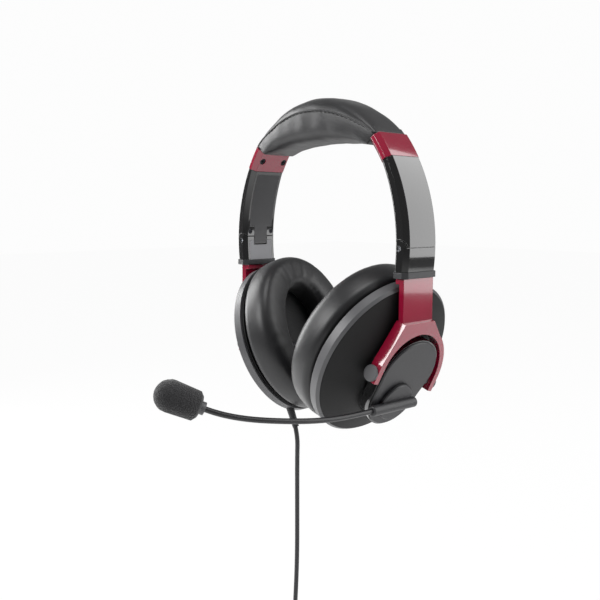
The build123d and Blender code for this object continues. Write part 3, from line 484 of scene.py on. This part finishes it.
seams = {
    "front": (180 - SEAM_ANGLE, 180 - SEAM_ANGLE + STITCH_DROP_ANGLE),
    "back": (SEAM_ANGLE, SEAM_ANGLE - STITCH_DROP_ANGLE),
}
for edge, (seam_angle, stitch_angle) in seams.items():
    line = [
        pad_point(-SEAM_REACH + 2 * SEAM_REACH * i / WELT_POINTS, seam_angle, -WELT_SINK)
        for i in range(WELT_POINTS + 1)
    ]
    welt_mesh = tube_mesh(f"pad_welt_{edge}", line, WELT_R)
    welt = new_object(f"pad_welt_{edge}", welt_mesh, pad_leather, "headband")
    row = [
        pad_point(-STITCH_REACH + 2 * STITCH_REACH * i / STITCH_SAMPLES, stitch_angle, -STITCH_SINK)
        for i in range(STITCH_SAMPLES + 1)
    ]
    stitches = bmesh.new()
    walked = 0.0
    for before, after in zip(row, row[1:]):
        step = (after - before).length
        if (walked % STITCH_PITCH) + step >= STITCH_PITCH:
            turn = (after - before).to_track_quat("Z", "Y").to_matrix().to_4x4()
            stretch = Matrix.Diagonal((1, 1, STITCH_LENGTH / (2 * STITCH_R), 1))
            seat = Matrix.Translation(after * MM) @ turn @ stretch
            bmesh.ops.create_uvsphere(
                stitches, u_segments=8, v_segments=6, radius=STITCH_R * MM, matrix=seat
            )
        walked += step
    stitch_mesh = bpy.data.meshes.new(f"pad_stitches_{edge}")
    stitches.to_mesh(stitch_mesh)
    stitches.free()
    sewn = new_object(f"pad_stitches_{edge}", stitch_mesh, thread, "headband")

# ------------------------------------------------------------------ headband core, spring, screws
# The core is glass-filled nylon, the spring a strip of blued steel, and every screw is a
# black oxide machine screw. All of it sits inside the pad and the collars.


def moulded_plastic(name, dark, light, rough, grain_size, depth, coat=0.0, glint=0.5):
    """Injection-moulded plastic: the tool's fine spark texture, and a drift in its gloss."""
    plastic = new_material(name)
    spot = add_node(plastic, "ShaderNodeTexCoord").outputs["Object"]
    spark = add_node(
        plastic, "ShaderNodeTexNoise", {"Vector": spot, "Scale": 1 / (grain_size * MM), "Detail": 4.0}
    )
    drift = add_node(
        plastic, "ShaderNodeTexNoise", {"Vector": spot, "Scale": 1 / (22 * MM), "Detail": 2.0}
    )
    tone = add_node(
        plastic,
        "ShaderNodeMix",
        {0: drift.outputs["Fac"], 6: linear(dark), 7: linear(light)},
        data_type="RGBA",
    )
    gloss = add_node(
        plastic,
        "ShaderNodeMapRange",
        {"Value": drift.outputs["Fac"], "To Min": max(rough - 0.04, 0.02), "To Max": rough + 0.05},
    )
    rounded = add_node(plastic, "ShaderNodeBevel", {"Radius": 0.35 * MM}, samples=4)
    relief = add_node(
        plastic,
        "ShaderNodeBump",
        {
            "Height": spark.outputs["Fac"],
            "Strength": 0.4,
            "Distance": depth * MM,
            "Normal": rounded.outputs["Normal"],
        },
    )
    body = add_node(
        plastic,
        "ShaderNodeBsdfPrincipled",
        {
            "Base Color": tone.outputs[2],
            "Roughness": gloss.outputs["Result"],
            "IOR": 1.53,
            "Specular IOR Level": glint,
            "Coat Weight": coat,
            "Coat Roughness": 0.04,
            "Normal": relief.outputs["Normal"],
            "Coat Normal": rounded.outputs["Normal"],
        },
    )
    add_node(plastic, "ShaderNodeOutputMaterial", {"Surface": body.outputs["BSDF"]})
    return plastic


def worked_metal(name, dark, light, rough, line_size):
    """Bare or plated steel: grey metal with the fine lines of drawing or turning."""
    metal = new_material(name)
    spot = add_node(metal, "ShaderNodeTexCoord").outputs["Object"]
    squeezed = add_node(
        metal, "ShaderNodeVectorMath", {0: spot, 1: (1.0, 1.0, 0.06)}, operation="MULTIPLY"
    )
    lines = add_node(
        metal,
        "ShaderNodeTexNoise",
        {"Vector": squeezed.outputs[0], "Scale": 1 / (line_size * MM), "Detail": 3.0},
    )
    tone = add_node(
        metal,
        "ShaderNodeMix",
        {0: lines.outputs["Fac"], 6: linear(dark), 7: linear(light)},
        data_type="RGBA",
    )
    gloss = add_node(
        metal,
        "ShaderNodeMapRange",
        {"Value": lines.outputs["Fac"], "To Min": rough - 0.05, "To Max": rough + 0.1},
    )
    relief = add_node(
        metal,
        "ShaderNodeBump",
        {"Height": lines.outputs["Fac"], "Strength": 0.2, "Distance": 0.02 * MM},
    )
    body = add_node(
        metal,
        "ShaderNodeBsdfPrincipled",
        {
            "Base Color": tone.outputs[2],
            "Metallic": 1.0,
            "Roughness": gloss.outputs["Result"],
            "Normal": relief.outputs["Normal"],
        },
    )
    add_node(metal, "ShaderNodeOutputMaterial", {"Surface": body.outputs["BSDF"]})
    return metal


filled_nylon = moulded_plastic("glass_filled_nylon", "#17171a", "#1f1f22", 0.55, 0.4, 0.08)
spring_steel = worked_metal("spring_steel_strip", "#7d8085", "#9a9da2", 0.32, 0.25)
black_screw = worked_metal("black_oxide_screw", "#232326", "#36363a", 0.35, 0.3)
dress(filled_nylon, "headband_core")
dress(spring_steel, "headband_spring")
dress(black_screw, "collar_screws")

# ------------------------------------------------------------------ collars
# Gloss red collars clamp the pad's ends. They are moulded in tinted polycarbonate ABS and
# polished, so they show sharp reflections over a deep red.
polished_red = moulded_plastic("polished_red_plastic", "#7d0828", "#930b30", 0.1, 6.0, 0.01, coat=1.0)
dress(polished_red, "headband_collar_left", "headband_collar_right")

# ------------------------------------------------------------------ arms and fold hinges
# The arms are piano-black ABS shells over a steel strip, closed inside by a satin dark plate. A
# steel pin joins each arm to its hinge block, whose inner plate is a lighter grey.
piano_black = moulded_plastic("piano_black_abs", "#060607", "#0a0a0b", 0.07, 8.0, 0.01, coat=1.0)
satin_dark = moulded_plastic("satin_dark_abs", "#242426", "#2c2c2f", 0.42, 0.5, 0.06)
satin_grey = moulded_plastic("satin_grey_abs", "#4a4a4c", "#555557", 0.38, 0.5, 0.05)
light_grey = moulded_plastic("light_grey_abs", "#77777b", "#87878b", 0.4, 0.5, 0.05)
for side in ("left", "right"):
    dress(piano_black, f"arm_shell_{side}", f"hinge_block_{side}")
    dress(satin_dark, f"arm_inner_plate_{side}", f"swivel_ring_{side}")
    dress(light_grey, f"hinge_block_plate_{side}")
    dress(spring_steel, f"slider_strip_{side}", f"fold_pin_{side}")
    dress(black_screw, f"arm_screws_{side}")

# ------------------------------------------------------------------ yokes
# Each yoke is one red moulding: a flat stem that flares into a forked arch. It turns on a steel
# post under the arm, and two grey-capped pins in its ends carry the cup.
for side in ("left", "right"):
    dress(polished_red, f"yoke_{side}")
    dress(spring_steel, f"swivel_post_{side}")
    dress(satin_grey, f"pivot_pins_{side}")

# ------------------------------------------------------------------ ear cup shells
# A satin grey rim carries a matt black conical back and, on it, a gloss black pivot housing with
# a dark grey side plate. The baffle with its driver closes the cup towards the ear.
matt_black = moulded_plastic("matt_black_abs", "#0a0a0b", "#101011", 0.55, 0.45, 0.08, glint=0.25)
coated_paper = moulded_plastic("driver_basket_black", "#0e0e0f", "#161617", 0.6, 0.6, 0.05)
for side in ("left", "right"):
    dress(satin_grey, f"cup_rim_{side}")
    dress(matt_black, f"cup_back_{side}", f"baffle_{side}", f"cushion_ring_{side}")
    dress(piano_black, f"pivot_housing_{side}")
    dress(satin_dark, f"side_plate_{side}")
    dress(coated_paper, f"driver_{side}")
    dress(black_screw, f"baffle_screws_{side}")

# Knitted polyester mesh behind the ear hole: black, with open cells about 1 mm apart.
ear_cloth = new_material("knitted_speaker_mesh")
place = add_node(ear_cloth, "ShaderNodeTexCoord").outputs["Object"]
cells = add_node(
    ear_cloth, "ShaderNodeTexVoronoi", {"Vector": place, "Scale": 1 / (1.0 * MM), "Randomness": 0.2}
)
cloth_shade = add_node(
    ear_cloth,
    "ShaderNodeMix",
    {0: cells.outputs["Distance"], 6: linear("#050505"), 7: linear("#1d1d1f")},
    data_type="RGBA",
)
cloth_bump = add_node(
    ear_cloth,
    "ShaderNodeBump",
    {"Height": cells.outputs["Distance"], "Strength": 0.7, "Distance": 0.25 * MM},
)
cloth_body = add_node(
    ear_cloth,
    "ShaderNodeBsdfPrincipled",
    {
        "Base Color": cloth_shade.outputs[2],
        "Roughness": 0.9,
        "Sheen Weight": 0.15,
        "Normal": cloth_bump.outputs["Normal"],
    },
)
add_node(ear_cloth, "ShaderNodeOutputMaterial", {"Surface": cloth_body.outputs["BSDF"]})
dress(ear_cloth, "ear_mesh_left", "ear_mesh_right")

# ------------------------------------------------------------------ ear cushions
# Memory foam rings in leatherette, sewn round the ear hole, where the cover gathers in soft radial
# wrinkles. Each hangs with its cup, swivelled and tilted as it rests.
SIDES = {"left": 1, "right": -1}
HINGE_Z = -60.0
SWIVEL_X = 70.6
PIVOT_BACK = 2.39
PIVOT_DROP = -74.8
PIVOT_IN = -10.46
YOKE_LEAN = 17.5
YOKE_TURN = 15.0
REST_SWIVEL = {"left": -0.6, "right": -13.1}
REST_TILT = {"left": 7.3, "right": 3.9}
PIVOT_HEIGHT = 7.5
CUP_SHIFT = (2.4, 2.6)
CUP_LEAN = 3.5
CUSHION_LOW = -35.6
CUSHION_HIGH = -14.0
CUSHION_HALF = (49.3, 51.6)
EAR_HALF = (24.5, 31.0)
RIB_DROPS = (7.0, 15.0)
RIB_HALF_WIDTH = 13.0
RIB_BOW = 5.0
RIB_HEIGHT = -13.4
RIB_R = 1.4
SIDE_SQUARENESS = 3.0
FACE_SQUARENESS = 2.7
RIM_SQUARENESS = 4.5
GATHER_DEPTH = 0.7
RIPPLE_DEPTH = 0.4
INNER_SEAM_ACROSS = 0.19
INNER_SEAM_HEIGHT = 2.4
INNER_WELT_R = 0.5
CUSHION_STEPS = 160
CUSHION_ROUND = 40


def cup_axes(side):
    """Middle of a cup at height 0, with its back, up and outward directions."""
    s = SIDES[side]
    toe = radians(REST_SWIVEL[side])
    out = Vector((s * cos(toe), sin(toe), 0))
    up = Vector((0, 0, 1))
    back = up.cross(out)
    middle = Vector((s * SWIVEL_X, 0, HINGE_Z)) + back * s * PIVOT_BACK + up * PIVOT_DROP + out * PIVOT_IN
    lean = Matrix.Rotation(radians(YOKE_LEAN), 3, back)
    up, out = lean @ up, lean @ out
    turn = Matrix.Rotation(radians(-s * YOKE_TURN), 3, out)
    back, up = turn @ back, turn @ up
    tilt = Matrix.Rotation(radians(REST_TILT[side]), 3, back)
    up, out = tilt @ up, tilt @ out
    middle = middle - out * PIVOT_HEIGHT
    turn = Matrix.Rotation(radians(s * YOKE_TURN), 3, out)
    back, up = turn @ back, turn @ up
    middle = middle - back * s * CUP_SHIFT[0] + up * CUP_SHIFT[1]
    return middle, back, up, out


# The ribs are matt black ABS under the cloth. They are coloured lighter than the baffle's matt black as a
# painted highlight for the light the raised ribs catch.
rib_painted_highlight = moulded_plastic("matt_abs_rib_painted_highlight", "#1c1c1f", "#29292d", 0.5, 0.5, 0.1)
cushion_leather = leather_cover("soft_leatherette_cushion", 1.0, "#141416", "#1c1c1e", 0.38)
for side, s in SIDES.items():
    middle, back, up, out = cup_axes(side)
    lean = radians(-s * CUP_LEAN)
    wide_way = back * cos(lean) + up * sin(lean)
    tall_way = up * cos(lean) - back * sin(lean)

    def oval(angle, half, height):
        """Point of an oval about the cup's middle, at a height along its outward direction."""
        return middle + wide_way * half[0] * cos(angle) + tall_way * half[1] * sin(angle) + out * height

    rows = []
    half_height = (CUSHION_HIGH - CUSHION_LOW) / 2
    mid_height = (CUSHION_HIGH + CUSHION_LOW) / 2
    for step in range(CUSHION_STEPS):
        angle = 2 * pi * step / CUSHION_STEPS
        ring = []
        for k in range(CUSHION_ROUND):
            turn = 2 * pi * k / CUSHION_ROUND
            c = cos(turn)
            h = sin(turn)
            across = 0.5 + 0.5 * abs(c) ** (2 / SIDE_SQUARENESS) * (1 if c > 0 else -1)
            squareness = RIM_SQUARENESS if h > 0 else FACE_SQUARENESS
            height = mid_height + half_height * abs(h) ** (2 / squareness) * (1 if h > 0 else -1)
            face = max(-h, 0.0)
            inner = max(-c, 0.0)
            ripple = noise.noise(Vector((cos(angle) * 5, sin(angle) * 5, 7.0 * s)))
            gather = noise.noise(Vector((cos(angle) * 14, sin(angle) * 14, across * 1.5 + 3.0 * s)))
            half = [EAR_HALF[i] + (CUSHION_HALF[i] - EAR_HALF[i]) * across for i in range(2)]
            sink = GATHER_DEPTH * gather * (0.9 * inner + 0.35 * face) + RIPPLE_DEPTH * ripple * face
            if h < 0:
                height = min(height + abs(sink), CUSHION_HIGH)
            ring.append(oval(angle, half, height))
        rows.append(ring)
    cushion = new_object(
        f"ear_cushion_cover_{side}",
        grid_mesh(f"ear_cushion_cover_{side}", rows, closed_rows=True),
        cushion_leather,
        f"cup_{side}",
    )
    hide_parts(f"ear_cushion_{side}")
    half = [EAR_HALF[i] + (CUSHION_HALF[i] - EAR_HALF[i]) * INNER_SEAM_ACROSS for i in range(2)]
    line = [oval(2 * pi * i / 180, half, CUSHION_LOW + INNER_SEAM_HEIGHT) for i in range(180)]
    welt = new_object(
        f"cushion_welt_inner_{side}",
        tube_mesh(f"cushion_welt_inner_{side}", line, INNER_WELT_R, closed=True),
        cushion_leather,
        f"cup_{side}",
    )

    # Two rounded ribs of the baffle push the cloth out low in the ear hole, one above the other.
    for rib, drop in enumerate(RIB_DROPS):
        bow = [RIB_HALF_WIDTH * (-1 + 2 * i / 24) for i in range(25)]
        line = [
            middle
            + wide_way * across
            - tall_way * (drop - RIB_BOW * (across / RIB_HALF_WIDTH) ** 2)
            + out * RIB_HEIGHT
            for across in bow
        ]
        ridge = new_object(
            f"ear_cloth_rib_{rib + 1}_{side}",
            tube_mesh(f"ear_cloth_rib_{rib + 1}_{side}", line, RIB_R),
            rib_painted_highlight,
            f"cup_{side}",
        )

# ------------------------------------------------------------------ boom microphone
# A satin dark hub and holder carry a thin flexible boom. The electret capsule at its end is grey,
# under a slip-on cap of black open-cell foam.
gooseneck = moulded_plastic("satin_black_gooseneck", "#161618", "#1f1f22", 0.36, 0.5, 0.04)
dress(satin_dark, "boom_hub", "boom_holder")
dress(gooseneck, "boom")
dress(satin_grey, "microphone_capsule")

FOAM_START = Vector((36.2, -116.5, -136.0))
FOAM_AIM = Vector((30.0, -127.4, -130.3))
FOAM_R = 8.1
FOAM_LOW = 2.1
FOAM_LENGTH = 23.8
FOAM_BORE = 3.35
FOAM_ROUGHNESS = 0.35
# Open-cell polyurethane foam: black and very dull, with pores drawn as 0.7 mm cells so that they show.
open_cell_foam = new_material("open_cell_foam")
place = add_node(open_cell_foam, "ShaderNodeTexCoord").outputs["Object"]
pores = add_node(open_cell_foam, "ShaderNodeTexVoronoi", {"Vector": place, "Scale": 1 / (0.7 * MM)})
foam_shade = add_node(
    open_cell_foam,
    "ShaderNodeMix",
    {0: pores.outputs["Distance"], 6: linear("#0a0a0b"), 7: linear("#2a2a2c")},
    data_type="RGBA",
)
foam_bump = add_node(
    open_cell_foam,
    "ShaderNodeBump",
    {"Height": pores.outputs["Distance"], "Strength": 0.9, "Distance": 0.4 * MM},
)
foam_body = add_node(
    open_cell_foam,
    "ShaderNodeBsdfPrincipled",
    {
        "Base Color": foam_shade.outputs[2],
        "Roughness": 0.95,
        "Sheen Weight": 0.25,
        "Normal": foam_bump.outputs["Normal"],
    },
)
add_node(open_cell_foam, "ShaderNodeOutputMaterial", {"Surface": foam_body.outputs["BSDF"]})

foam_way = (FOAM_AIM - FOAM_START).normalized()
foam_side = foam_way.orthogonal().normalized()
foam_other = foam_way.cross(foam_side)
# Outline of the cap as reach along the boom and radius: the bore, the round back edge, the round end.
foam_profile = [
    (FOAM_LOW + 9.0, 0.4),
    (FOAM_LOW + 9.0, FOAM_BORE),
    (FOAM_LOW + 1.2, FOAM_BORE),
    (FOAM_LOW + 0.2, FOAM_BORE + 1.2),
    (FOAM_LOW + 0.6, FOAM_R - 2.4),
    (FOAM_LOW + 2.2, FOAM_R - 0.7),
]
for i in range(13):
    bend = radians(90 * i / 12)
    reach = FOAM_LOW + FOAM_LENGTH - FOAM_R + FOAM_R * sin(bend)
    foam_profile.append((reach, max(FOAM_R * cos(bend), 0.3)))
foam_rows = []
for reach, ring_r in foam_profile:
    ring = []
    for k in range(48):
        angle = 2 * pi * k / 48
        spoke = foam_side * cos(angle) + foam_other * sin(angle)
        point = FOAM_START + foam_way * reach + spoke * ring_r
        rough = noise.noise(point * 0.8) * (FOAM_ROUGHNESS if ring_r > FOAM_BORE + 0.5 else 0.0)
        ring.append(point + spoke * rough)
    foam_rows.append(ring)
foam_cap = new_object("foam_cap", grid_mesh("foam_cap", foam_rows), open_cell_foam, "boom")
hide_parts("windscreen")

# ------------------------------------------------------------------ studio
# A pale floor below the hanging plug, a white surround, and four large soft boxes: in front, on
# each side and above, so that the gloss parts carry long soft highlights.
FLOOR_Z = -0.412
floor_mesh = bpy.data.meshes.new("studio_floor")
floor_mesh.from_pydata(
    [(-6, -6, FLOOR_Z), (6, -6, FLOOR_Z), (6, 6, FLOOR_Z), (-6, 6, FLOOR_Z)], [], [(0, 1, 2, 3)]
)
floor = bpy.data.objects.new("studio_floor", floor_mesh)
bpy.context.scene.collection.objects.link(floor)
pale_floor = new_material("pale_studio_floor")
ray = add_node(pale_floor, "ShaderNodeLightPath")
matt = add_node(pale_floor, "ShaderNodeBsdfDiffuse", {"Color": linear("#f2f2f2")})
white = add_node(pale_floor, "ShaderNodeEmission", {"Color": (1, 1, 1, 1), "Strength": 1.0})
part_seen = add_node(
    pale_floor, "ShaderNodeMath", {0: ray.outputs["Is Camera Ray"], 1: 0.96}, operation="MULTIPLY"
)
floor_mix = add_node(
    pale_floor,
    "ShaderNodeMixShader",
    {0: part_seen.outputs[0], 1: matt.outputs["BSDF"], 2: white.outputs["Emission"]},
)
add_node(pale_floor, "ShaderNodeOutputMaterial", {"Surface": floor_mix.outputs["Shader"]})
floor_mesh.materials.append(pale_floor)

world = bpy.data.worlds.new("studio")
bpy.context.scene.world = world
world.use_nodes = True
world.node_tree.nodes.clear()
ray = add_node(world, "ShaderNodeLightPath")
surround = add_node(world, "ShaderNodeBackground", {"Color": (1, 1, 1, 1), "Strength": 0.2})
seen = add_node(world, "ShaderNodeBackground", {"Color": (1, 1, 1, 1), "Strength": 0.98})
world_mix = add_node(
    world,
    "ShaderNodeMixShader",
    {0: ray.outputs["Is Camera Ray"], 1: surround.outputs[0], 2: seen.outputs[0]},
)
add_node(world, "ShaderNodeOutputWorld", {"Surface": world_mix.outputs["Shader"]})

for name, place, size, power in (
    ("soft_box_front", (-0.3, -0.95, 0.45), (0.5, 0.5), 8.0),
    ("soft_box_left", (0.95, 0.75, 0.5), (1.3, 1.7), 18.0),
    ("soft_box_right", (-0.95, -0.3, 0.2), (0.5, 0.8), 11.0),
    ("soft_box_top", (0.2, -0.2, 1.0), (0.5, 0.5), 5.0),
):
    lamp_data = bpy.data.lights.new(name, "AREA")
    lamp_data.shape = "RECTANGLE"
    lamp_data.size, lamp_data.size_y = size
    lamp_data.energy = power
    lamp = bpy.data.objects.new(name, lamp_data)
    bpy.context.scene.collection.objects.link(lamp)
    lamp.location = place
    aim = Vector((0, 0, -0.09)) - lamp.location
    lamp.rotation_euler = aim.to_track_quat("-Z", "Y").to_euler()
bpy.context.scene.view_settings.view_transform = "Standard"

bpy.context.view_layer.update()
